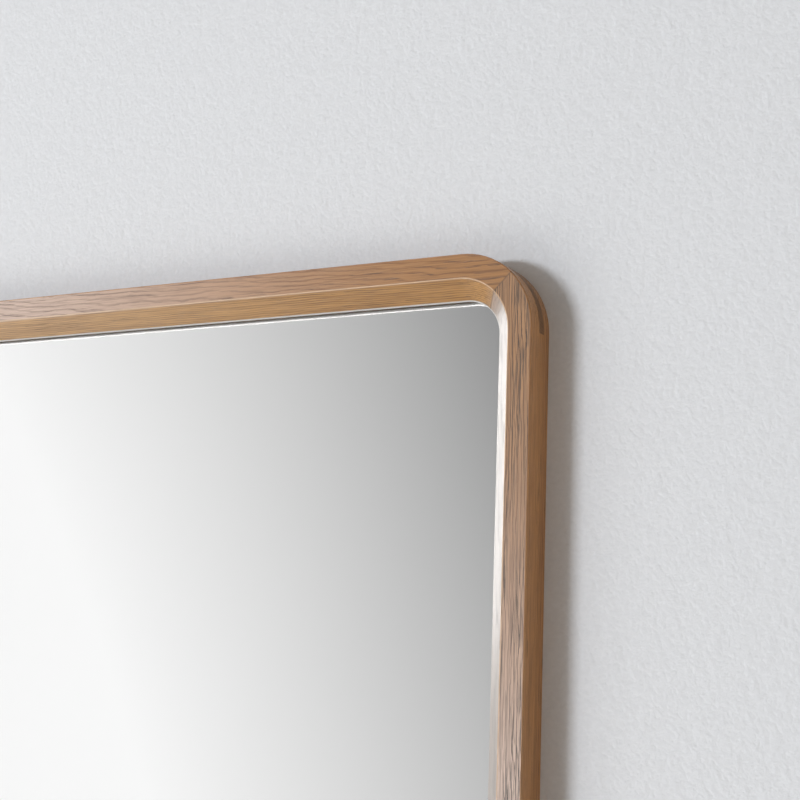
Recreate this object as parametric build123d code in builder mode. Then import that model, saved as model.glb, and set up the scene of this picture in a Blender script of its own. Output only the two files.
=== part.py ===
from build123d import *
import os
from math import atan, degrees, sqrt

os.makedirs("parts", exist_ok=True)

# Wall mirror in a splayed oak frame with rounded, splined mitre corners.
# X runs to the right, Z up and Y into the wall. The back of the wood lies in y = 0, the flat front
# face in y = -frame_depth. The origin is midway between the entry holes of the two hanger plates.
# Offsets are measured inwards from the outer side of the frame, depths back from its front face.

# Driving dimensions, in millimetres

mirror_width = 700.0
mirror_height = 1000.0
frame_depth = 36.0
hang_drop = 105.0            # from the top of the frame down to the hanger entry holes

face_width = 20.0            # flat front face
sight_offset = 35.0          # outer side to the edge of the visible glass
splay_depth = 16.8           # depth of the splayed inner face where it meets the sight edge
outer_radius = 62.5          # outer corner
arris_radius = 44.0          # corner of the line where face and splay meet
nose_radius = 5.0            # rounding between the splay and the sight edge
nose_under_radius = 4.8      # rounding between the sight edge and the glass shoulder
arris_ease = 0.8             # sanded line between face and splay
edge_ease = 0.8              # small chamfer on the outer edges, front and back

shoulder_depth = 24.0        # front face to the shoulder that the glass lies against
rebate_offset = 25.0         # outer side to the wall of the rear rebate
mitre_run_over = 12.0        # how far the mitre cut runs on past the inner corner
spline_run_over = 5.0        # how far the slot cutter runs out past the unrounded corner

spline_thickness = 9.2
spline_depth = 20.2          # front face to the middle of the spline
spline_reach = 46.5          # unrounded corner to the bottom of the spline slot, on the diagonal
spline_glue_gap = 0.05       # on each face of a spline

glass_thickness = 4.0
glass_clearance = 1.0        # from glass edge to rebate wall, all round
glass_arris = 0.6
film_thickness = 0.2
film_margin = 3.0            # glass edge to film edge

tape_thickness = 1.0
tape_width = 25.0
tape_count = 5
tape_side_margin = 60.0      # glass edge to the middle of the outer strips
tape_end_margin = 45.0

panel_thickness = 5.0
panel_clearance = 1.2
panel_edge_ease = 0.5

shim_length = 25.0
shim_inset = 120.0           # middle of a shim to the nearer end of the glass

point_length = 13.0
point_width = 6.0
point_thickness = 0.5
point_bite = 6.0             # part of a point that is driven into the wood
point_fit = 0.05
points_across = 4
points_up = 6
point_inset = 100.0          # outer side of a stile to the first point of the top or bottom rail
point_plate_gap = 20.0       # end of a hanger plate to the first point of a stile

entry_radius = 5.0           # round hole that passes the head of the wall screw
slot_width = 5.2             # slot that the shank of the wall screw slides up
slot_rise = 10.0             # entry hole up to the seat of the wall screw
head_room = 1.5              # entry hole to the side of the pocket behind it
head_pocket_depth = 8.0      # room for the screw head behind the plate
plate_seat = 1.5             # side of the pocket to the side of the plate
plate_end = 7.0              # screw of a plate to its nearer end
plate_thickness = 2.0
plate_fit = 0.2              # plate edge to the edge of its recess

screw_radius = 1.5
screw_head_radius = 3.1
screw_head_angle = 90.0
screw_length = 13.0
screw_point_length = 2.5
screw_fit = 0.1
screw_pitch = 40.0           # between the two screws of one plate
driver_recess_width = 0.8
driver_recess_length = 3.0
driver_recess_depth = 1.0

pad_radius = 6.0
pad_thickness = 1.0
pad_inset = 120.0            # outer side of a stile to the middle of the nearest pad

# Values that follow from them

half_width = mirror_width / 2
top_level = hang_drop
bottom_level = hang_drop - mirror_height
middle_level = (top_level + bottom_level) / 2

sight_radius = arris_radius - (sight_offset - face_width)
rebate_radius = sight_radius + (sight_offset - rebate_offset)
splay_taper = degrees(atan((sight_offset - face_width) / splay_depth))
glass_radius = rebate_radius - glass_clearance

glass_front_y = shoulder_depth - frame_depth
glass_back_y = glass_front_y + glass_thickness
film_back_y = glass_back_y + film_thickness
tape_back_y = film_back_y + tape_thickness
panel_back_y = tape_back_y + panel_thickness

glass_width = mirror_width - 2 * (rebate_offset + glass_clearance)
glass_height = mirror_height - 2 * (rebate_offset + glass_clearance)
back_middle = rebate_offset / 2
head_pocket_width = 2 * (entry_radius + head_room)
plate_width = head_pocket_width + 2 * plate_seat
plate_length = screw_pitch + 2 * plate_end
plate_x = half_width - back_middle
plate_level = slot_rise / 2
screw_head_depth = screw_head_radius - screw_radius
point_inset_up = hang_drop - plate_level + plate_length / 2 + point_plate_gap


def depth_plane(y):
    """Plane square to Y at the given y, looking out of the wall: sketch x is X and sketch y is Z."""
    return Plane.XZ.offset(-y)


def ring_outline(offset, radius):
    """Rounded rectangle, concentric with the frame and the given offset inside its outer side."""
    with BuildSketch(Plane.XY) as outline:
        with Locations((0, middle_level)):
            RectangleRounded(mirror_width - 2 * offset, mirror_height - 2 * offset, radius)
    return outline.sketch


# The ring that the four rails are cut from, so that face, splay, nose and rebate run on
# through the mitres without a step

with BuildPart() as frame_ring:
    with BuildSketch(depth_plane(0)):
        add(ring_outline(0, outer_radius))
    extrude(amount=frame_depth)
    outer_loops = frame_ring.faces().filter_by(Axis.Y).edges()
    chamfer(outer_loops, edge_ease)
    with BuildSketch(depth_plane(0)):
        add(ring_outline(sight_offset, sight_radius))
    extrude(amount=frame_depth, mode=Mode.SUBTRACT)
    with BuildSketch(depth_plane(0)):
        add(ring_outline(rebate_offset, rebate_radius))
    extrude(amount=-glass_front_y, mode=Mode.SUBTRACT)
    with BuildSketch(depth_plane(-frame_depth)):
        add(ring_outline(face_width, arris_radius))
    extrude(amount=-splay_depth, taper=splay_taper, mode=Mode.SUBTRACT)

    tiny = 0.01

    nose_level = splay_depth - frame_depth
    nose_loop = frame_ring.edges().filter_by_position(Axis.Y, nose_level - tiny, nose_level + tiny)
    fillet(nose_loop, nose_radius)
    flats = frame_ring.faces().filter_by(Axis.Y)
    shoulder = flats.filter_by_position(Axis.Y, glass_front_y - tiny, glass_front_y + tiny)[0]
    fillet(shoulder.inner_wires()[0].edges(), nose_under_radius)
    front_face = frame_ring.faces().filter_by(Axis.Y).sort_by(Axis.Y)[0]
    fillet(front_face.inner_wires()[0].edges(), arris_ease)

# Corners as signs of X and Z, so that a loop can place what repeats at each of them

corner_signs = {
    "top_left": (-1, 1),
    "top_right": (1, 1),
    "bottom_left": (-1, -1),
    "bottom_right": (1, -1),
}


def corner_level(z_sign):
    return top_level if z_sign > 0 else bottom_level


def corner_slab(x_sign, z_sign, gap):
    """Three-cornered slab across one mitre, thinner by gap on each face, that runs out past the corner."""
    margin = spline_run_over
    leg = spline_reach * sqrt(2) - gap
    corner_x = x_sign * half_width
    corner_z = corner_level(z_sign)
    outside_x = corner_x + x_sign * margin
    outside_z = corner_z + z_sign * margin
    front_y = spline_depth - frame_depth - spline_thickness / 2 + gap
    back_y = spline_depth - frame_depth + spline_thickness / 2 - gap
    with BuildPart() as slab:
        with BuildSketch(depth_plane(back_y)):
            with BuildLine():
                Polyline(
                    (outside_x, outside_z),
                    (corner_x - x_sign * (leg + margin), outside_z),
                    (outside_x, corner_z - z_sign * (leg + margin)),
                    close=True,
                )
            make_face()
        extrude(amount=back_y - front_y)
    return slab.part


def framing_points(gap):
    """The steel points, or with a gap the kerfs for them: four lines behind the edge of the panel."""
    length = point_length + 2 * gap
    width = point_width + 2 * gap
    middle = rebate_offset - point_bite + point_length / 2
    side_x = half_width - middle
    end_z = mirror_height / 2 - middle
    pitch_across = (mirror_width - 2 * point_inset) / (points_across - 1)
    pitch_up = (mirror_height - 2 * point_inset_up) / (points_up - 1)
    with BuildPart() as points:
        with BuildSketch(depth_plane(panel_back_y + point_thickness + gap)):
            with Locations((0, middle_level + end_z), (0, middle_level - end_z)):
                with GridLocations(pitch_across, 0, points_across, 1):
                    Rectangle(width, length)
            with Locations((side_x, middle_level), (-side_x, middle_level)):
                with GridLocations(0, pitch_up, 1, points_up):
                    Rectangle(length, width)
        extrude(amount=point_thickness + 2 * gap)
    return points.part


def hanger_cavity(x):
    """Recess for a hanger plate, the deeper pocket for the screw head and the two pilot holes."""
    with BuildPart() as cavity:
        with BuildSketch(depth_plane(0)):
            with Locations((x, plate_level)):
                recess_width = plate_width + 2 * plate_fit
                SlotOverall(plate_length + 2 * plate_fit, recess_width, rotation=90)
        extrude(amount=plate_thickness)
        with BuildSketch(depth_plane(0)):
            with Locations((x, plate_level)):
                SlotCenterToCenter(slot_rise, head_pocket_width, rotation=90)
        extrude(amount=plate_thickness + head_pocket_depth)
        with BuildSketch(depth_plane(0)):
            with Locations((x, plate_level)):
                with GridLocations(0, screw_pitch, 1, 2):
                    Circle(screw_radius + screw_fit)
        extrude(amount=screw_length + screw_fit)
    return cavity.part


def mitred_rail(name, outline, corners, cavity=None):
    """One rail: the ring inside a mitred outline, less the spline slots, point kerfs and any cavity."""
    with BuildPart() as rail:
        add(frame_ring.part)
        with BuildSketch(depth_plane(0)):
            with BuildLine():
                Polyline(*outline, close=True)
            make_face()
        extrude(amount=2 * frame_depth, both=True, mode=Mode.INTERSECT)
        for corner in corners:
            x_sign, z_sign = corner_signs[corner]
            add(corner_slab(x_sign, z_sign, 0), mode=Mode.SUBTRACT)
        add(framing_points(point_fit), mode=Mode.SUBTRACT)
        if cavity is not None:
            add(cavity, mode=Mode.SUBTRACT)
    rail.part.label = name
    return rail


# Rails. Each mitre runs from the unrounded outer corner inwards at 45 degrees

mitre_reach = sight_offset + sight_radius + mitre_run_over
inner_x = half_width - mitre_reach
inner_top = top_level - mitre_reach
inner_bottom = bottom_level + mitre_reach

top_outline = [
    (-half_width, top_level),
    (half_width, top_level),
    (inner_x, inner_top),
    (-inner_x, inner_top),
]
bottom_outline = [
    (-half_width, bottom_level),
    (half_width, bottom_level),
    (inner_x, inner_bottom),
    (-inner_x, inner_bottom),
]
right_outline = [
    (half_width, top_level),
    (half_width, bottom_level),
    (inner_x, inner_bottom),
    (inner_x, inner_top),
]
left_outline = [(-x, z) for x, z in right_outline]

top_rail = mitred_rail("top_rail", top_outline, ["top_left", "top_right"])
export_step(top_rail.part, "parts/top_rail.step")

bottom_rail = mitred_rail("bottom_rail", bottom_outline, ["bottom_left", "bottom_right"])
export_step(bottom_rail.part, "parts/bottom_rail.step")

left_corners = ["top_left", "bottom_left"]
left_stile = mitred_rail("left_stile", left_outline, left_corners, hanger_cavity(-plate_x))
export_step(left_stile.part, "parts/left_stile.step")

right_corners = ["top_right", "bottom_right"]
right_stile = mitred_rail("right_stile", right_outline, right_corners, hanger_cavity(plate_x))
export_step(right_stile.part, "parts/right_stile.step")

# Splines: dark wooden keys glued across the mitres and planed off flush with the outer curve

for corner, (x_sign, z_sign) in corner_signs.items():
    with BuildPart() as spline:
        add(corner_slab(x_sign, z_sign, spline_glue_gap))
        with BuildSketch(depth_plane(0)):
            add(ring_outline(0, outer_radius))
        extrude(amount=frame_depth, mode=Mode.INTERSECT)
    spline.part.label = f"spline_{corner}"
    export_step(spline.part, f"parts/spline_{corner}.step")

# Mirror glass, silvered on its back, with ground arrises

with BuildPart() as mirror_glass:
    with BuildSketch(depth_plane(glass_back_y)):
        add(ring_outline(rebate_offset + glass_clearance, glass_radius))
    extrude(amount=glass_thickness)
    chamfer(mirror_glass.faces().filter_by(Axis.Y).edges(), glass_arris)
mirror_glass.part.label = "mirror_glass"
export_step(mirror_glass.part, "parts/mirror_glass.step")

# Film on the back of the silvering, which holds the glass together if it breaks

with BuildPart() as safety_film:
    with BuildSketch(depth_plane(film_back_y)):
        film_offset = rebate_offset + glass_clearance + film_margin
        add(ring_outline(film_offset, glass_radius - film_margin))
    extrude(amount=film_thickness)
safety_film.part.label = "safety_film"
export_step(safety_film.part, "parts/safety_film.step")

# Upright strips of foam tape that bond the glass to the panel

with BuildPart() as mirror_tape:
    with BuildSketch(depth_plane(tape_back_y)):
        tape_pitch = (glass_width - 2 * tape_side_margin) / (tape_count - 1)
        with Locations((0, middle_level)):
            with GridLocations(tape_pitch, 0, tape_count, 1):
                Rectangle(tape_width, glass_height - 2 * tape_end_margin)
    extrude(amount=tape_thickness)
mirror_tape.part.label = "mirror_tape"
export_step(mirror_tape.part, "parts/mirror_tape.step")

# Shims that centre the glass in its rebate, two on each side

with BuildPart() as glass_shims:
    with BuildSketch(depth_plane(glass_back_y)):
        shim_x = half_width - rebate_offset - glass_clearance / 2
        shim_z = mirror_height / 2 - rebate_offset - glass_clearance / 2
        shims_across = glass_width - 2 * shim_inset
        shims_up = glass_height - 2 * shim_inset
        with Locations((0, middle_level)):
            with GridLocations(shims_across, 2 * shim_z, 2, 2):
                Rectangle(shim_length, glass_clearance)
            with GridLocations(2 * shim_x, shims_up, 2, 2):
                Rectangle(glass_clearance, shim_length)
    extrude(amount=glass_thickness)
glass_shims.part.label = "glass_shims"
export_step(glass_shims.part, "parts/glass_shims.step")

# Backing panel

with BuildPart() as backing_panel:
    with BuildSketch(depth_plane(panel_back_y)):
        panel_offset = rebate_offset + panel_clearance
        add(ring_outline(panel_offset, rebate_radius - panel_clearance))
    extrude(amount=panel_thickness)
    panel_rim = backing_panel.faces().sort_by(Axis.Y)[-1].edges()
    chamfer(panel_rim, panel_edge_ease)
backing_panel.part.label = "backing_panel"
export_step(backing_panel.part, "parts/backing_panel.step")

panel_points = framing_points(0)
panel_points.label = "panel_points"
export_step(panel_points, "parts/panel_points.step")

# Hanger plates: a keyhole with its slot upwards and a countersunk hole at each end

for side, x_sign in (("left", -1), ("right", 1)):
    with BuildPart() as hanger_plate:
        with BuildSketch(depth_plane(0)):
            with Locations((x_sign * plate_x, plate_level)):
                SlotOverall(plate_length, plate_width, rotation=90)
        extrude(amount=plate_thickness)
        with BuildSketch(depth_plane(0)):
            with Locations((x_sign * plate_x, 0)):
                Circle(entry_radius)
            with Locations((x_sign * plate_x, plate_level)):
                SlotCenterToCenter(slot_rise, slot_width, rotation=90)
        extrude(amount=plate_thickness, mode=Mode.SUBTRACT)
        plate_middle = (x_sign * plate_x, 0, plate_level)
        with Locations(Plane(origin=plate_middle, x_dir=(-1, 0, 0), z_dir=(0, 1, 0))):
            with GridLocations(0, screw_pitch, 1, 2):
                CounterSinkHole(
                    screw_radius + screw_fit,
                    screw_head_radius + screw_fit,
                    depth=plate_thickness,
                    counter_sink_angle=screw_head_angle,
                )
    hanger_plate.part.label = f"{side}_hanger_plate"
    export_step(hanger_plate.part, f"parts/{side}_hanger_plate.step")

# Countersunk wood screws of the hanger plates, one group

with BuildPart() as hanger_screws:
    for x_sign in (-1, 1):
        for z_sign in (-1, 1):
            screw_x = x_sign * plate_x
            screw_z = plate_level + z_sign * screw_pitch / 2
            with BuildSketch(Plane(origin=(screw_x, 0, screw_z), x_dir=(1, 0, 0), z_dir=(0, 0, 1))):
                with BuildLine():
                    Polyline(
                        (0, 0),
                        (screw_head_radius, 0),
                        (screw_radius, -screw_head_depth),
                        (screw_radius, screw_point_length - screw_length),
                        (0, -screw_length),
                        close=True,
                    )
                make_face()
            screw_axis = Axis((screw_x, 0, screw_z), (0, 1, 0))
            revolve(axis=screw_axis)
            with BuildSketch(Plane.XZ):
                with Locations((screw_x, screw_z)):
                    Rectangle(driver_recess_length, driver_recess_width)
                    Rectangle(driver_recess_width, driver_recess_length)
            extrude(amount=driver_recess_depth, mode=Mode.SUBTRACT)
hanger_screws.part.label = "hanger_screws"
export_step(hanger_screws.part, "parts/hanger_screws.step")

# Felt pads that keep the frame off the wall

for corner, (x_sign, z_sign) in corner_signs.items():
    with BuildPart() as felt_pad:
        with BuildSketch(depth_plane(pad_thickness)):
            pad_z = corner_level(z_sign) - z_sign * back_middle
            with Locations((x_sign * (half_width - pad_inset), pad_z)):
                Circle(pad_radius)
        extrude(amount=pad_thickness)
    felt_pad.part.label = f"felt_pad_{corner}"
    export_step(felt_pad.part, f"parts/felt_pad_{corner}.step")
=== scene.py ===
import bpy
import numpy as np
from mathutils import Matrix, Vector


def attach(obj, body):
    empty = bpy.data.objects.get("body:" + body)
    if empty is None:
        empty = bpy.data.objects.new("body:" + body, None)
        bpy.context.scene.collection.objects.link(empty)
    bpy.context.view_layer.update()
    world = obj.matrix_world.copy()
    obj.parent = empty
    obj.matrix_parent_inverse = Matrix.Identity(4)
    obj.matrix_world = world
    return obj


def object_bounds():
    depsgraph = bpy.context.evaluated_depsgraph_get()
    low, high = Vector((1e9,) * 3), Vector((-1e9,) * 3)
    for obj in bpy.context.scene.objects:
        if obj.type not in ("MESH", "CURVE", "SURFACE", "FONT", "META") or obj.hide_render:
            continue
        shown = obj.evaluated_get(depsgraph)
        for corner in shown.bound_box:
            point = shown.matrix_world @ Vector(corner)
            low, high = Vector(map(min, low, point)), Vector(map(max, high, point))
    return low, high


# Wall mirror in an oak frame. Metres, X to the right, Z up, Y into the wall.

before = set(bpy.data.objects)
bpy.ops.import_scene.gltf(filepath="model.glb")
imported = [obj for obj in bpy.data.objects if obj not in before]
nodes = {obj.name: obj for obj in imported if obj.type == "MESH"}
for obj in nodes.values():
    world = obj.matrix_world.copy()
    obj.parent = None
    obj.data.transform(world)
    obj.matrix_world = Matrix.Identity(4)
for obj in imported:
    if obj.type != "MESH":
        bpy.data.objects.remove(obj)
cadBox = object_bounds()
scene = bpy.context.scene
print("frame loaded:", len(nodes), "nodes")

halfWidth = cadBox[1].x
topLevel = cadBox[1].z
bottomLevel = cadBox[0].z
halfHeight = (topLevel - bottomLevel) / 2
middleLevel = (topLevel + bottomLevel) / 2
frontLevel = cadBox[0].y


# Small helpers for node trees

def addNode(tree, kind, inputs=None, **settings):
    made = tree.nodes.new(kind)
    for name, value in settings.items():
        setattr(made, name, value)
    for key, value in (inputs or {}).items():
        if isinstance(value, bpy.types.NodeSocket):
            tree.links.new(value, made.inputs[key])
        else:
            made.inputs[key].default_value = value
    return made


def calc(tree, operation, *values, clamp=False):
    made = addNode(tree, "ShaderNodeMath", dict(enumerate(values)), operation=operation)
    made.use_clamp = clamp
    return made.outputs[0]


def mixColour(tree, factor, first, second, blend="MIX"):
    made = addNode(tree, "ShaderNodeMix", data_type="RGBA", blend_type=blend)
    for index, value in ((0, factor), (6, first), (7, second)):
        if isinstance(value, bpy.types.NodeSocket):
            tree.links.new(value, made.inputs[index])
        else:
            made.inputs[index].default_value = value
    return made.outputs[2]


def smoothBand(tree, value, low, high, lowOut=0.0, highOut=1.0):
    sockets = {0: value, 1: low, 2: high, 3: lowOut, 4: highOut}
    made = addNode(tree, "ShaderNodeMapRange", sockets)
    made.interpolation_type = "SMOOTHSTEP"
    return made.outputs[0]


def newGroup(name, inputs, outputs):
    tree = bpy.data.node_groups.new(name, "ShaderNodeTree")
    for direction, sockets in (("INPUT", inputs), ("OUTPUT", outputs)):
        for label, kind, value in sockets:
            made = tree.interface.new_socket(label, in_out=direction,
                                             socket_type="NodeSocket" + kind)
            if value is not None:
                made.default_value = value
    start = tree.nodes.new("NodeGroupInput")
    end = tree.nodes.new("NodeGroupOutput")
    return tree, start.outputs, end.inputs


def addGroup(tree, group, inputs):
    made = tree.nodes.new("ShaderNodeGroup")
    made.node_tree = group
    for key, value in inputs.items():
        if isinstance(value, bpy.types.NodeSocket):
            tree.links.new(value, made.inputs[key])
        else:
            made.inputs[key].default_value = value
    return made.outputs


def newMaterial(name):
    made = bpy.data.materials.new(name)
    made.use_nodes = True
    tree = made.node_tree
    tree.nodes.clear()
    shader = tree.nodes.new("ShaderNodeBsdfPrincipled")
    output = tree.nodes.new("ShaderNodeOutputMaterial")
    tree.links.new(shader.outputs[0], output.inputs[0])
    return made, tree, shader


def bump(tree, shader, height, strength, distance):
    made = addNode(tree, "ShaderNodeBump",
                   {"Height": height, "Strength": strength, "Distance": distance})
    tree.links.new(made.outputs[0], shader.inputs["Normal"])


# Edges of the frame's front, in metres inwards of its outline, with their corner radii.
# Front levels of the nose are Y values.

edges = {"outerRadius": 0.0625, "faceWidth": 0.020, "faceRadius": 0.044,
         "arrisInset": 0.0005, "arrisRadius": 0.062,
         "noseStart": (-0.0200, -0.0190), "noseEnd": (-0.0136, -0.0126)}

# Distance to a rounded rectangle: the length of what |p| has past the corner's centre,
# less the radius; negative inside

def makeRingGroup():
    tree, given, out = newGroup(
        "ringDistance",
        [("Vector", "Vector", None), ("Half Width", "Float", halfWidth),
         ("Half Height", "Float", halfHeight), ("Radius", "Float", edges["outerRadius"]),
         ("Middle", "Float", middleLevel)],
        [("Distance", "Float", None)])
    axes = addNode(tree, "ShaderNodeSeparateXYZ", {0: given["Vector"]}).outputs
    across = calc(tree, "SUBTRACT", calc(tree, "ABSOLUTE", axes[0]), given["Half Width"])
    up = calc(tree, "SUBTRACT", axes[2], given["Middle"])
    up = calc(tree, "SUBTRACT", calc(tree, "ABSOLUTE", up), given["Half Height"])
    across = calc(tree, "ADD", across, given["Radius"])
    up = calc(tree, "ADD", up, given["Radius"])
    acrossOver = calc(tree, "MAXIMUM", across, 0.0)
    upOver = calc(tree, "MAXIMUM", up, 0.0)
    squares = calc(tree, "ADD", calc(tree, "MULTIPLY", acrossOver, acrossOver),
                   calc(tree, "MULTIPLY", upOver, upOver))
    outside = calc(tree, "SQRT", squares)
    inside = calc(tree, "MINIMUM", calc(tree, "MAXIMUM", across, up), 0.0)
    total = calc(tree, "SUBTRACT", calc(tree, "ADD", outside, inside), given["Radius"])
    tree.links.new(total, out["Distance"])
    return tree


ringGroup = makeRingGroup()


# Oak: growth rings are cylinders round a pith that lies outside the board and leans a little,
# so a face cut along them shows arches and one cut across them shows fine straight lines.
# Pores are long thin flecks, crowded into the dark early part of each ring.
# Each noise: waves per metre along and across the grain, shift, detail, roughness.

oakNoise = {
    "wander": (9.0, 28.0, (0, 0, 0), 2.0, 0.55),
    "ripple": (38.0, 90.0, (3, 1, 2), 3.0, 0.55),
    "fibre": (32.0, 1300.0, (0, 0, 0), 2.0, 0.6),
    "streak": (9.0, 420.0, (5, 3, 7), 3.0, 0.6),
    "board": (3.2, 16.0, (2, 9, 4), 2.0, 0.55),
    "pore": (34.0, 1900.0, (7, 7, 1), 2.0, 0.5),
    "patch": (8.0, 150.0, (1, 4, 8), 2.0, 0.55),
}
# How far each noise darkens the wood: the value left out, and the gain
oakTone = {"streak": (0.44, 1.7), "fibre": (0.48, 2.0), "board": (0.42, 0.8)}
oakShape = {
    "rippleShare": 0.28,
    "earlyRise": (0.0, 0.1), "earlyFall": (0.2, 0.5),
    "poreEdge": (0.665, 0.56), "poreFade": 0.05,
    "patchBand": (0.36, 0.6), "patchLeast": 0.35,
    "rough": 0.33, "poreRough": 0.25, "toneRough": 0.08, "fibreHeight": 0.35,
}


def makeOakGroup():
    tree, given, out = newGroup(
        "oakGrain",
        [("Vector", "Vector", None), ("Pith Across", "Float", 20.0),
         ("Pith Behind", "Float", 60.0), ("Lean", "Float", 0.03),
         ("Ring Width", "Float", 1.8), ("Wander", "Float", 7.0),
         ("Light", "Color", (0.41, 0.203, 0.079, 1)), ("Dark", "Color", (0.212, 0.09, 0.031, 1)),
         ("Pore", "Color", (0.055, 0.037, 0.026, 1)), ("Pore Strength", "Float", 0.9),
         ("Pore Amount", "Float", 0.0), ("Ring Strength", "Float", 0.35)],
        [("Color", "Color", None), ("Roughness", "Float", None), ("Height", "Float", None)])

    def noise(name):
        along, across, shift, detail, roughness = oakNoise[name]
        placed = addNode(tree, "ShaderNodeMapping", {"Vector": given["Vector"], "Location": shift,
                                                     "Scale": (along, across, across)})
        return addNode(tree, "ShaderNodeTexNoise",
                       {"Vector": placed.outputs[0], "Scale": 1.0, "Detail": detail,
                        "Roughness": roughness, "Distortion": 0.0}).outputs[0]

    def aroundZero(name, reach):
        return calc(tree, "MULTIPLY", calc(tree, "SUBTRACT", noise(name), 0.5), reach)

    # Distance to the pith in millimetres: sqrt(across^2 + behind^2) + lean * along + wander
    millimetres = addNode(tree, "ShaderNodeVectorMath",
                          {0: given["Vector"], 1: (1000.0, 1000.0, 1000.0)},
                          operation="MULTIPLY").outputs[0]
    axes = addNode(tree, "ShaderNodeSeparateXYZ", {0: millimetres}).outputs
    wander = aroundZero("wander", given["Wander"])
    ripple = aroundZero("ripple", calc(tree, "MULTIPLY", given["Wander"], oakShape["rippleShare"]))
    across = calc(tree, "SUBTRACT", axes[1], given["Pith Across"])
    behind = calc(tree, "SUBTRACT", axes[2], given["Pith Behind"])
    radius = calc(tree, "SQRT", calc(tree, "ADD", calc(tree, "MULTIPLY", across, across),
                                     calc(tree, "MULTIPLY", behind, behind)))
    radius = calc(tree, "ADD", radius, calc(tree, "MULTIPLY", axes[0], given["Lean"]))
    radius = calc(tree, "ADD", calc(tree, "ADD", radius, wander), ripple)
    phase = calc(tree, "FRACT", calc(tree, "DIVIDE", radius, given["Ring Width"]))
    early = calc(tree, "MULTIPLY", smoothBand(tree, phase, *oakShape["earlyRise"]),
                 smoothBand(tree, phase, *oakShape["earlyFall"], 1.0, 0.0))

    # Pores: where a thin noise passes an edge that is lower in the early wood
    poreEdge = smoothBand(tree, early, 0.0, 1.0, *oakShape["poreEdge"])
    poreEdge = calc(tree, "SUBTRACT", poreEdge, given["Pore Amount"])
    pore = smoothBand(tree, calc(tree, "SUBTRACT", noise("pore"), poreEdge),
                      0.0, oakShape["poreFade"])
    patch = smoothBand(tree, noise("patch"), *oakShape["patchBand"], oakShape["patchLeast"], 1.0)
    pore = calc(tree, "MULTIPLY", pore, patch)

    tone = calc(tree, "MULTIPLY", early, given["Ring Strength"])
    layers = {name: noise(name) for name in oakTone}
    for name, (middle, gain) in oakTone.items():
        share = calc(tree, "MULTIPLY", calc(tree, "SUBTRACT", layers[name], middle), gain)
        tone = calc(tree, "ADD", tone, share, clamp=name == "board")
    wood = mixColour(tree, tone, given["Light"], given["Dark"])
    wood = mixColour(tree, calc(tree, "MULTIPLY", pore, given["Pore Strength"]),
                     wood, given["Pore"])
    tree.links.new(wood, out["Color"])
    poreRough = calc(tree, "MULTIPLY", pore, oakShape["poreRough"])
    rough = calc(tree, "ADD", oakShape["rough"], poreRough)
    rough = calc(tree, "ADD", rough, calc(tree, "MULTIPLY", tone, oakShape["toneRough"]))
    tree.links.new(rough, out["Roughness"])
    fibreHeight = calc(tree, "MULTIPLY", layers["fibre"], oakShape["fibreHeight"])
    tree.links.new(calc(tree, "SUBTRACT", fibreHeight, pore), out["Height"])
    return tree


oakGroup = makeOakGroup()

# One board for each rail: which way its grain runs and where its pith lay, in millimetres.
# "pale" is the share of the pale colours, which are painted glare, in the face far from the top
# right corner; a splay share paints some of the same glare onto the splay.

oakFinish = {
    # Arris colours: partly sanded wear, partly painted highlight
    "outerArrisWearAndHighlight": (0.46, 0.22, 0.09, 1),
    "innerArrisWearAndHighlight": (0.58, 0.38, 0.22, 1),
    "jointLine": (0.16, 0.09, 0.05, 1),
    # Painted glare: pale colours mixed into the face far from the top right corner, and a little
    # into the splay
    "glareLight": (0.6, 0.455, 0.38, 1),
    "glareDark": (0.34, 0.245, 0.2, 1),
    "glareSum": 0.43,
    "glareStart": 0.05,
    "glareEnd": 0.55,
    "sidePores": 0.02,
    # Painted shade colour of the outer side:
    "sideShadeTint": (1.05, 1.0, 0.85, 1),
    # Painted sheen of the splay where it is seen at a low angle:
    "grazingGlare": (0.34, 0.32, 0.3, 1),
    "grazingGlareStart": 0.42,
    "grazingGlareEnd": 0.66,
    "grazingGlareShare": 0.76,
    # Painted highlight along the nose beside the glass:
    "noseHighlight": (0.93, 0.9, 0.86, 1),
    "arrisWidth": 0.0011,
    "jointWidth": 0.0007,
    "light": (0.41, 0.203, 0.079, 1),
    "dark": (0.212, 0.09, 0.031, 1),
    "pore": (0.055, 0.037, 0.026, 1),
    "coat": 0.4,
    "coatRoughness": 0.25,
    "bumpStrength": 0.35,
    "bumpDepth": 0.0004,
    "poreStrength": 0.9,
    "nearFront": (0.0005, 0.0016),
    "nearSplay": (0.0003, 0.0012),
    "nearSide": (-0.0012, -0.0004),
    "outerShare": 0.6,
    "innerShare": 0.7,
    "jointShare": 0.8,
}
boards = {
    "top_rail": {
        "alongX": True, "shift": (0.31, 0.0, 0.0), "pithAcross": 60.0, "pithBehind": 44.0,
        "lean": 0.022, "pores": 0.01, "rings": 0.5, "pore": (0.085, 0.047, 0.028, 1),
        "poreStrength": 0.75, "pale": 0.76, "splayGlare": 0.28,
        "splayLightTint": (1.22, 1.28, 1.03, 1), "sideShadeTint": (1.16, 0.98, 0.59, 1),
    },
    "bottom_rail": {
        "alongX": True, "shift": (1.7, 0.02, 0.0), "pithAcross": -930.0, "pithBehind": 38.0,
        "lean": -0.026, "pores": 0.03, "rings": 0.35, "pale": 0.35,
    },
    "left_stile": {
        "alongX": False, "shift": (2.6, 0.01, 0.0), "pithAcross": -360.0, "pithBehind": 40.0,
        "lean": 0.02, "pores": 0.03, "rings": 0.35, "pale": 0.35,
    },
    "right_stile": {
        "alongX": False, "shift": (0.9, 0.03, 0.0), "pithAcross": 390.0, "pithBehind": 20.0,
        "lean": -0.018, "pores": 0.115, "rings": 0.35, "pale": 0.95,
        "sideShadeTint": (1.16, 0.98, 0.59, 1), "light": (0.43, 0.235, 0.118, 1),
        "dark": (0.225, 0.105, 0.046, 1),
    },
}


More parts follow.
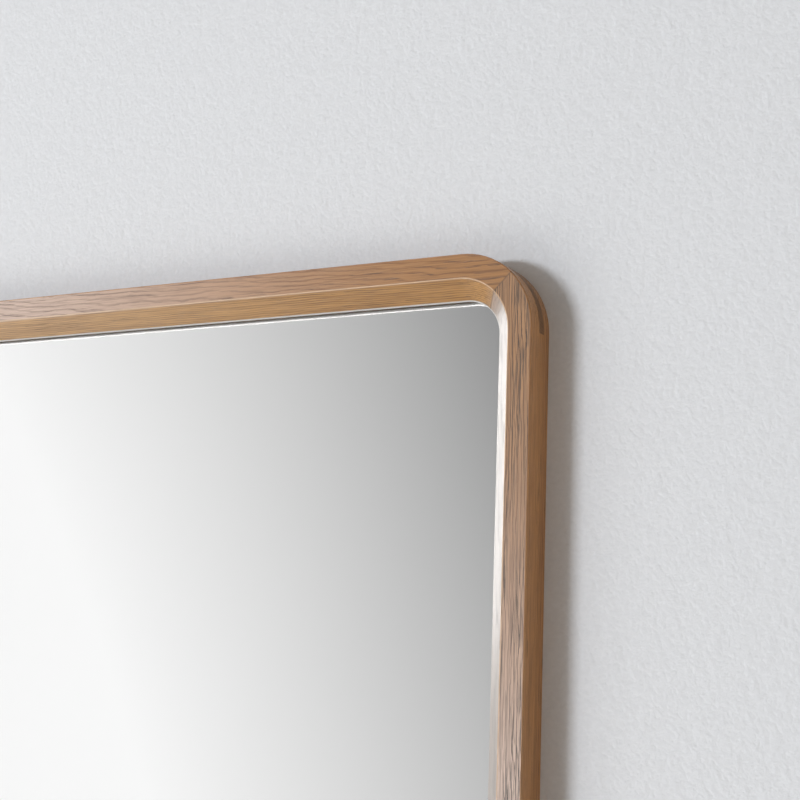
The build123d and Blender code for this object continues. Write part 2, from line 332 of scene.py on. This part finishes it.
def boardVector(tree, alongX, shift):
    place = addNode(tree, "ShaderNodeTexCoord").outputs["Object"]
    axes = addNode(tree, "ShaderNodeSeparateXYZ", {0: place}).outputs
    order = (axes[0], axes[2], axes[1]) if alongX else (axes[2], axes[0], axes[1])
    vector = addNode(tree, "ShaderNodeCombineXYZ", dict(enumerate(order))).outputs[0]
    moved = addNode(tree, "ShaderNodeVectorMath", {0: vector, 1: shift}, operation="ADD")
    return place, moved.outputs[0]


def loopDistance(tree, place, offset, radius):
    return addGroup(tree, ringGroup, {"Vector": place, "Half Width": halfWidth - offset,
                                      "Half Height": halfHeight - offset, "Radius": radius})[0]


def nearLoop(tree, place, offset, radius, width):
    ring = loopDistance(tree, place, offset, radius)
    return smoothBand(tree, calc(tree, "ABSOLUTE", ring), 0.0, width, 1.0, 0.0)


def tinted(tree, mask, colour, tint):
    return mixColour(tree, mask, colour, mixColour(tree, 1.0, colour, tint, "MULTIPLY"))


def makeOak(name, board):
    made, tree, shader = newMaterial("oak_" + name)
    finish = oakFinish
    place, vector = boardVector(tree, board["alongX"], board["shift"])
    axes = addNode(tree, "ShaderNodeSeparateXYZ", {0: place}).outputs

    # Where: the face, the splay and nose inwards of it, and the side outwards of it
    frontFade = [frontLevel + reach for reach in finish["nearFront"]]
    nearFront = smoothBand(tree, axes[1], *frontFade, 1.0, 0.0)
    faceLoop = loopDistance(tree, place, edges["faceWidth"], edges["faceRadius"])
    inwards = smoothBand(tree, calc(tree, "MULTIPLY", faceLoop, -1.0), *finish["nearSplay"])
    sideLoop = loopDistance(tree, place, 0.0, edges["outerRadius"])
    outwards = smoothBand(tree, sideLoop, *finish["nearSide"])

    # Painted glare: the face is painted paler with the distance from the top right corner, taken
    # as a sum less x and z
    fromCorner = calc(tree, "SUBTRACT", finish["glareSum"], calc(tree, "ADD", axes[0], axes[2]))
    pale = smoothBand(tree, fromCorner, finish["glareStart"], finish["glareEnd"], 0.0, board["pale"])
    glarePlace = calc(tree, "MULTIPLY", inwards, board.get("splayGlare", 0.0))
    pale = calc(tree, "MULTIPLY", pale, calc(tree, "MAXIMUM", nearFront, glarePlace))
    pores = calc(tree, "ADD", calc(tree, "MULTIPLY", nearFront, board["pores"]),
                 finish["sidePores"])
    grain = addGroup(tree, oakGroup, {
        "Vector": vector, "Pith Across": board["pithAcross"] + 1000 * board["shift"][1],
        "Pith Behind": board["pithBehind"], "Lean": board["lean"], "Pore Amount": pores,
        "Ring Strength": board["rings"], "Pore": board.get("pore", finish["pore"]),
        "Pore Strength": board.get("poreStrength", finish["poreStrength"]),
        "Light": mixColour(tree, pale, board.get("light", finish["light"]), finish["glareLight"]),
        "Dark": mixColour(tree, pale, board.get("dark", finish["dark"]), finish["glareDark"])})
    # Painted light: the splay of the top rail is tinted brighter and yellower for the light it
    # catches from below
    colour = tinted(tree, inwards, grain[0], board.get("splayLightTint", (1, 1, 1, 1)))

    # Painted sheen: the splay is painted a pale grey where it is seen at a low angle
    facing = addNode(tree, "ShaderNodeLayerWeight", {"Blend": 0.5}).outputs["Facing"]
    low = smoothBand(tree, facing, finish["grazingGlareStart"], finish["grazingGlareEnd"],
                     0.0, finish["grazingGlareShare"])
    colour = mixColour(tree, calc(tree, "MULTIPLY", low, inwards), colour, finish["grazingGlare"])
    # Painted shade: the outer side is tinted warmer and deeper, most on the boards whose sides lie
    # in shade
    colour = tinted(tree, outwards, colour, board.get("sideShadeTint", finish["sideShadeTint"]))

    # Painted highlight: a pale line is painted along the nose beside the glass. The arrises of the
    # face are painted lighter too, partly sanded wear and partly painted highlight
    nose = calc(tree, "MULTIPLY", smoothBand(tree, axes[1], *edges["noseStart"]),
                smoothBand(tree, axes[1], *edges["noseEnd"], 1.0, 0.0))
    colour = mixColour(tree, calc(tree, "MULTIPLY", nose, inwards), colour, finish["noseHighlight"])
    # Each arris of the face is painted lighter in a thin band: partly sanded wear, partly painted
    # highlight
    arrises = (
        (edges["arrisInset"], edges["arrisRadius"], finish["outerShare"], finish["outerArrisWearAndHighlight"]),
        (edges["faceWidth"], edges["faceRadius"], finish["innerShare"], finish["innerArrisWearAndHighlight"]))
    for offset, radius, share, shade in arrises:
        near = calc(tree, "MULTIPLY",
                    nearLoop(tree, place, offset, radius, finish["arrisWidth"]), nearFront)
        colour = mixColour(tree, calc(tree, "MULTIPLY", near, share), colour, shade)

    # The mitre runs where the way to the side equals the way to the top or bottom
    sideways = calc(tree, "SUBTRACT", halfWidth, calc(tree, "ABSOLUTE", axes[0]))
    upwards = calc(tree, "SUBTRACT", axes[2], middleLevel)
    upwards = calc(tree, "SUBTRACT", halfHeight, calc(tree, "ABSOLUTE", upwards))
    gap = calc(tree, "ABSOLUTE", calc(tree, "SUBTRACT", sideways, upwards))
    joint = smoothBand(tree, gap, 0.0, finish["jointWidth"] * 2, 1.0, 0.0)
    colour = mixColour(tree, calc(tree, "MULTIPLY", joint, finish["jointShare"]), colour,
                       finish["jointLine"])

    tree.links.new(colour, shader.inputs["Base Color"])
    tree.links.new(grain[1], shader.inputs["Roughness"])
    bump(tree, shader, grain[2], finish["bumpStrength"], finish["bumpDepth"])
    shader.inputs["IOR"].default_value = 1.5
    shader.inputs["Coat Weight"].default_value = finish["coat"]
    shader.inputs["Coat Roughness"].default_value = finish["coatRoughness"]
    return made


def dress(name, material):
    mesh = nodes[name].data
    mesh.materials.clear()
    mesh.materials.append(material)


for name, board in boards.items():
    dress(name, makeOak(name, board))

# Splines: darker wood, its grain square to the mitre

splineFinish = {"light": (0.21, 0.098, 0.034, 1), "dark": (0.108, 0.047, 0.016, 1),
                "pore": (0.05, 0.027, 0.014, 1), "poreStrength": 0.6,
                "ringWidth": 1.9, "wander": 3.0, "bumpStrength": 0.3, "bumpDepth": 0.0003}
splineTurns = {"top_left": -1, "bottom_right": -1, "top_right": 1, "bottom_left": 1}

for corner, turn in splineTurns.items():
    made, tree, shader = newMaterial("spline_" + corner)
    place = addNode(tree, "ShaderNodeTexCoord").outputs["Object"]
    turned = addNode(tree, "ShaderNodeMapping",
                     {"Vector": place, "Rotation": (0.0, turn * np.pi / 4, 0.0)})
    grain = addGroup(tree, oakGroup, {
        "Vector": turned.outputs[0], "Ring Width": splineFinish["ringWidth"],
        "Wander": splineFinish["wander"], "Light": splineFinish["light"],
        "Dark": splineFinish["dark"], "Pore": splineFinish["pore"],
        "Pore Strength": splineFinish["poreStrength"]})
    tree.links.new(grain[0], shader.inputs["Base Color"])
    tree.links.new(grain[1], shader.inputs["Roughness"])
    bump(tree, shader, grain[2], splineFinish["bumpStrength"], splineFinish["bumpDepth"])
    dress("spline_" + corner, made)

print("wood dressed")

# Mirror: a clear pane and, just inside its back, the silver layer

silver = {"offset": 0.0263, "radius": 0.0377, "front": -0.00806, "back": -0.00802,
          "cornerSteps": 24, "dark": (0.91, 0.91, 0.91, 1), "light": (0.925, 0.925, 0.925, 1),
          "hazeScale": 6.0, "roughMost": 0.012}
pane = {"first": (0.99, 0.993, 0.991, 1), "second": (0.994, 0.996, 0.995, 1),
        "cloudScale": 3.0, "ior": 1.52}


def roundedLoop(offset, radius, steps):
    # Each corner is centre + radius * (cos a, sin a), a running through 90 degrees
    angles = np.linspace(0, np.pi / 2, steps + 1)
    xs, zs = [], []
    for turn, (xSign, zSign) in enumerate(((1, 1), (-1, 1), (-1, -1), (1, -1))):
        around = angles + turn * np.pi / 2
        xs.append(xSign * (halfWidth - offset - radius) + radius * np.cos(around))
        zs.append(middleLevel + zSign * (halfHeight - offset - radius) + radius * np.sin(around))
    return np.concatenate(xs), np.concatenate(zs)


def meshFrom(name, points, faces):
    mesh = bpy.data.meshes.new(name)
    mesh.from_pydata(points.tolist(), [], faces)
    mesh.update()
    made = bpy.data.objects.new(name, mesh)
    scene.collection.objects.link(made)
    return made


def makeSilver():
    xs, zs = roundedLoop(silver["offset"], silver["radius"], silver["cornerSteps"])
    count = len(xs)
    points = np.concatenate([np.stack([xs, np.full(count, level), zs], 1)
                             for level in (silver["front"], silver["back"])])
    front = list(range(count))
    back = [count + index for index in reversed(front)]
    sides = [[index, index + count, (index + 1) % count + count, (index + 1) % count]
             for index in front]
    return meshFrom("silver_layer", points, [front, back] + sides)


made, tree, shader = newMaterial("silvering")
place = addNode(tree, "ShaderNodeTexCoord").outputs["Object"]
haze = addNode(tree, "ShaderNodeTexNoise",
               {"Vector": place, "Scale": silver["hazeScale"], "Detail": 2.0}).outputs[0]
tree.links.new(mixColour(tree, haze, silver["dark"], silver["light"]), shader.inputs["Base Color"])
shader.inputs["Metallic"].default_value = 1.0
tree.links.new(smoothBand(tree, haze, 0.0, 1.0, 0.0, silver["roughMost"]),
               shader.inputs["Roughness"])
silverLayer = makeSilver()
silverLayer.data.materials.append(made)
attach(silverLayer, "root")

made, tree, shader = newMaterial("clear_glass")
place = addNode(tree, "ShaderNodeTexCoord").outputs["Object"]
cloud = addNode(tree, "ShaderNodeTexNoise",
                {"Vector": place, "Scale": pane["cloudScale"], "Detail": 1.0}).outputs[0]
tree.links.new(mixColour(tree, cloud, pane["first"], pane["second"]), shader.inputs["Base Color"])
shader.inputs["Transmission Weight"].default_value = 1.0
shader.inputs["Roughness"].default_value = 0.0
shader.inputs["IOR"].default_value = pane["ior"]
dress("mirror_glass", made)
print("mirror made")


# Plain finishes of the back and of what it hides. The noise between speckMiddle's ends gives
# the share of the second colour and the roughness.

speckMiddle = (0.3, 0.7)


def speckled(name, light, dark, scale, metallic=0.0, rough=(0.4, 0.6), bumps=None, detail=3.0):
    made, tree, shader = newMaterial(name)
    place = addNode(tree, "ShaderNodeTexCoord").outputs["Object"]
    grains = addNode(tree, "ShaderNodeTexNoise", {"Vector": place, "Scale": scale,
                                                  "Detail": detail, "Roughness": 0.65}).outputs[0]
    spread = smoothBand(tree, grains, *speckMiddle)
    tree.links.new(mixColour(tree, spread, light, dark), shader.inputs["Base Color"])
    tree.links.new(smoothBand(tree, grains, *speckMiddle, *rough), shader.inputs["Roughness"])
    shader.inputs["Metallic"].default_value = metallic
    if bumps:
        bump(tree, shader, grains, *bumps)
    return made


finishes = {
    "zinc": {"light": (0.66, 0.67, 0.68, 1), "dark": (0.50, 0.52, 0.54, 1), "scale": 260.0,
             "metallic": 1.0, "rough": (0.28, 0.42), "bumps": (0.15, 0.0002)},
    "felt": {"light": (0.085, 0.08, 0.077, 1), "dark": (0.035, 0.033, 0.032, 1),
             "scale": 1400.0, "rough": (0.9, 1.0), "bumps": (0.8, 0.0006)},
    "hardboard": {"light": (0.33, 0.205, 0.115, 1), "dark": (0.265, 0.158, 0.085, 1),
                  "scale": 420.0, "rough": (0.45, 0.62), "bumps": (0.25, 0.0003),
                  "detail": 6.0},
    "foam": {"light": (0.78, 0.78, 0.75, 1), "dark": (0.66, 0.66, 0.64, 1), "scale": 900.0,
             "rough": (0.8, 0.95), "bumps": (0.5, 0.0004)},
    "film": {"light": (0.16, 0.21, 0.26, 1), "dark": (0.12, 0.16, 0.20, 1), "scale": 300.0,
             "rough": (0.4, 0.5)},
    "shim_plastic": {"light": (0.06, 0.06, 0.06, 1), "dark": (0.04, 0.04, 0.04, 1),
                     "scale": 500.0, "rough": (0.4, 0.55)},
}
wears = {
    "backing_panel": "hardboard", "mirror_tape": "foam", "safety_film": "film",
    "glass_shims": "shim_plastic", "panel_points": "zinc", "left_hanger_plate": "zinc",
    "right_hanger_plate": "zinc", "hanger_screws": "zinc",
}
wears.update({name: "felt" for name in nodes if name.startswith("felt_pad")})
plain = {name: speckled(name, **values) for name, values in finishes.items()}
for name, finish in wears.items():
    dress(name, plain[finish])
print("back dressed")

# Wall with a hole behind the frame, so that light reaches the back in rear views, and the floor

room = {"wallY": 0.001, "inset": 0.0015, "cornerSteps": 16, "reachX": 5.0, "reachUp": 2.6,
        "floor": -2.0, "front": -5.0, "rear": 5.0}
plaster = {"light": (0.765, 0.765, 0.772, 1), "dark": (0.735, 0.735, 0.742, 1),
           "stippleScale": 260.0, "lumpScale": 90.0, "rough": 0.9, "specular": 0.2,
           "bumpStrength": 0.75, "bumpDepth": 0.0009}
floorFinish = {"light": (0.74, 0.735, 0.725, 1), "dark": (0.70, 0.695, 0.685, 1),
               "scale": 40.0, "rough": (0.6, 0.7)}


def makeWall():
    xs, zs = roundedLoop(room["inset"], edges["outerRadius"] - room["inset"],
                         room["cornerSteps"])
    count = len(xs)
    # The outer edge takes the same count of points, each pushed out to a large rectangle
    towardsX, towardsZ = xs / halfWidth, (zs - middleLevel) / halfHeight
    largest = np.maximum(np.abs(towardsX), np.abs(towardsZ))
    farX = towardsX / largest * room["reachX"]
    reachZ = np.where(towardsZ < 0, middleLevel - room["floor"], room["reachUp"])
    farZ = middleLevel + towardsZ / largest * reachZ
    level = np.full(count, room["wallY"])
    points = np.concatenate([np.stack([xs, level, zs], 1), np.stack([farX, level, farZ], 1)])
    faces = [[index, index + count, (index + 1) % count + count, (index + 1) % count]
             for index in range(count)]
    return meshFrom("wall", points, faces)


wall = makeWall()
floorPoints = np.array([(x, y, room["floor"]) for x, y in (
    (-room["reachX"], room["front"]), (room["reachX"], room["front"]),
    (room["reachX"], room["rear"]), (-room["reachX"], room["rear"]))])
floor = meshFrom("floor", floorPoints, [[0, 1, 2, 3]])

made, tree, shader = newMaterial("plaster")
place = addNode(tree, "ShaderNodeTexCoord").outputs["Object"]
stipple = addNode(tree, "ShaderNodeTexNoise",
                  {"Vector": place, "Scale": plaster["stippleScale"], "Detail": 3.0,
                   "Roughness": 0.6}).outputs[0]
tree.links.new(mixColour(tree, smoothBand(tree, stipple, *speckMiddle), plaster["light"],
                         plaster["dark"]), shader.inputs["Base Color"])
shader.inputs["Roughness"].default_value = plaster["rough"]
shader.inputs["Specular IOR Level"].default_value = plaster["specular"]
lumps = addNode(tree, "ShaderNodeTexNoise",
                {"Vector": place, "Scale": plaster["lumpScale"], "Detail": 2.0}).outputs[0]
bump(tree, shader, calc(tree, "ADD", stipple, lumps), plaster["bumpStrength"],
     plaster["bumpDepth"])
# The back of the wall is clear to the camera only, so that the rear of the mirror can be seen
clear = addNode(tree, "ShaderNodeBsdfTransparent")
side = addNode(tree, "ShaderNodeNewGeometry").outputs["Backfacing"]
seen = addNode(tree, "ShaderNodeLightPath").outputs["Is Camera Ray"]
choice = addNode(tree, "ShaderNodeMixShader", {0: calc(tree, "MULTIPLY", side, seen),
                                               1: shader.outputs[0], 2: clear.outputs[0]})
tree.links.new(choice.outputs[0], tree.nodes["Material Output"].inputs[0])
wall.data.materials.append(made)
floor.data.materials.append(speckled("pale_floor", **floorFinish))

# World: pale to the camera, and a soft grey to white sweep for light and mirror images.
# Brightness rises with the share of the direction that points left and falls a little upwards;
# it never goes under "least", which is more to the right and behind and less overhead.

sweep = {"level": 0.327, "leftGain": 2.5, "leftStart": 0.4126, "upGain": -0.78, "upStart": 0.216,
         "least": 0.33, "most": 1.03,
         "rightBand": (0.0, 0.8), "rightGain": 0.18, "topBand": (0.2, 0.9), "topLoss": 0.32,
         "rearBand": (0.0, 0.3), "rearGain": 0.35,
         "tintBand": (0.1, 0.6), "rightTint": (1.13, 1.0, 0.83, 1), "seen": (0.84, 0.84, 0.84, 1)}
world = bpy.data.worlds.new("room")
scene.world = world
world.use_nodes = True
tree = world.node_tree
tree.nodes.clear()
direction = addNode(tree, "ShaderNodeTexCoord").outputs["Generated"]
axes = addNode(tree, "ShaderNodeSeparateXYZ", {0: direction}).outputs
left = calc(tree, "SUBTRACT", calc(tree, "MULTIPLY", axes[0], -1.0), sweep["leftStart"])
bright = calc(tree, "ADD", calc(tree, "MULTIPLY", left, sweep["leftGain"]), sweep["level"])
up = calc(tree, "SUBTRACT", axes[2], sweep["upStart"])
bright = calc(tree, "ADD", bright, calc(tree, "MULTIPLY", up, sweep["upGain"]))
least = calc(tree, "ADD", sweep["least"],
             smoothBand(tree, axes[0], *sweep["rightBand"], 0.0, sweep["rightGain"]))
least = calc(tree, "SUBTRACT", least,
             smoothBand(tree, axes[2], *sweep["topBand"], 0.0, sweep["topLoss"]))
least = calc(tree, "ADD", least,
             smoothBand(tree, axes[1], *sweep["rearBand"], 0.0, sweep["rearGain"]))
bright = calc(tree, "MINIMUM", calc(tree, "MAXIMUM", bright, least), sweep["most"])
grey = addNode(tree, "ShaderNodeCombineColor", {0: bright, 1: bright, 2: bright}).outputs[0]
rightwards = smoothBand(tree, axes[0], *sweep["tintBand"])
tint = mixColour(tree, rightwards, (1, 1, 1, 1), sweep["rightTint"])
grey = mixColour(tree, 1.0, grey, tint, "MULTIPLY")
isCamera = addNode(tree, "ShaderNodeLightPath").outputs["Is Camera Ray"]
shown = mixColour(tree, isCamera, grey, sweep["seen"])
background = addNode(tree, "ShaderNodeBackground", {"Color": shown, "Strength": 1.0})
addNode(tree, "ShaderNodeOutputWorld", {"Surface": background.outputs[0]})


# Lamps: each a soft rectangle that faces its target

def addLamp(name, place, target, size, power, diffuse=True, glossy=True, tint=(1, 1, 1)):
    light = bpy.data.lights.new(name, "AREA")
    light.color = tint
    light.shape = "RECTANGLE"
    light.size, light.size_y = size
    light.energy = power
    made = bpy.data.objects.new(name, light)
    facing = Vector(target) - Vector(place)
    turned = facing.to_track_quat("-Z", "Y").to_matrix().to_4x4()
    made.matrix_world = Matrix.Translation(Vector(place)) @ turned
    made.visible_camera = False
    made.visible_diffuse = diffuse
    made.visible_glossy = glossy
    made.visible_transmission = glossy
    scene.collection.objects.link(made)
    return made


# From: azimuth to the left of the mirror's axis, elevation, both in degrees, and distance.
# Spread: width and height in degrees as seen from the mirror.

lamps = {
    "key": {"from": (33.5, -1.0, 14.0), "spread": (13, 4.0), "radiance": 103.0, "glossy": False,
            "tint": (0.885, 0.95, 1.035)},
    "sideWindow": {"from": (63, 23, 12.0), "spread": (34, 47), "radiance": 2.9,
                   "diffuse": False},
    "lowPanel": {"from": (36, -30, 2.4), "spread": (60, 34), "radiance": 5.8, "diffuse": False,
                 "mirrored": False},
    "lowFill": {"from": (40, -34, 2.6), "spread": (40, 24), "radiance": 2.5, "glossy": False,
                "tint": (0.99, 0.96, 0.9)},
    "rearFill": {"from": (180, 15, 3.0), "spread": (40, 40), "radiance": 3.0, "glossy": False},
}
aim = Vector((0.2, 0.0, 0.0))

# A lamp linked to this set leaves out the mirror and the far boards, so that it shows there
# as no hard white shape
mirrorless = bpy.data.collections.new("mirrorless")
for member in (nodes["mirror_glass"], silverLayer, nodes["left_stile"],
               nodes["bottom_rail"]):
    mirrorless.objects.link(member)
for entry in mirrorless.collection_objects:
    entry.light_linking.link_state = "EXCLUDE"
for name, lamp in lamps.items():
    azimuth, elevation, distance = lamp["from"]
    turned, raised = np.radians(azimuth), np.radians(elevation)
    away = Vector((-np.sin(turned) * np.cos(raised), -np.cos(turned) * np.cos(raised),
                   np.sin(raised)))
    size = [2 * distance * np.tan(np.radians(angle / 2)) for angle in lamp["spread"]]
    power = lamp["radiance"] * np.pi * size[0] * size[1]
    made = addLamp(name, aim + distance * away, aim, size, power, lamp.get("diffuse", True),
                   lamp.get("glossy", True), lamp.get("tint", (1, 1, 1)))
    if not lamp.get("mirrored", True):
        made.light_linking.receiver_collection = mirrorless
print("room lit")

# Camera, fitted to the straight edges and corner arcs of the frame

view = {"place": (0.82357, -1.11771, -0.21695), "right": (0.88125, 0.47133, 0.03536),
        "down": (-0.04725, 0.16229, -0.98561), "forward": (-0.47028, 0.86690, 0.16529),
        "lens": 70.0, "shiftY": -0.5 / 800}
lens = bpy.data.cameras.new("camera")
lens.lens = view["lens"]
lens.sensor_width = 36.0
lens.shift_y = view["shiftY"]
lens.clip_start = 0.01
camera = bpy.data.objects.new("camera", lens)
axesX, axesY, axesZ = Vector(view["right"]), -Vector(view["down"]), -Vector(view["forward"])
turn = Matrix((axesX, axesY, axesZ)).transposed().to_4x4()
camera.matrix_world = Matrix.Translation(Vector(view["place"])) @ turn
scene.collection.objects.link(camera)
scene.camera = camera
scene.view_settings.view_transform = "Standard"

print("scene made")
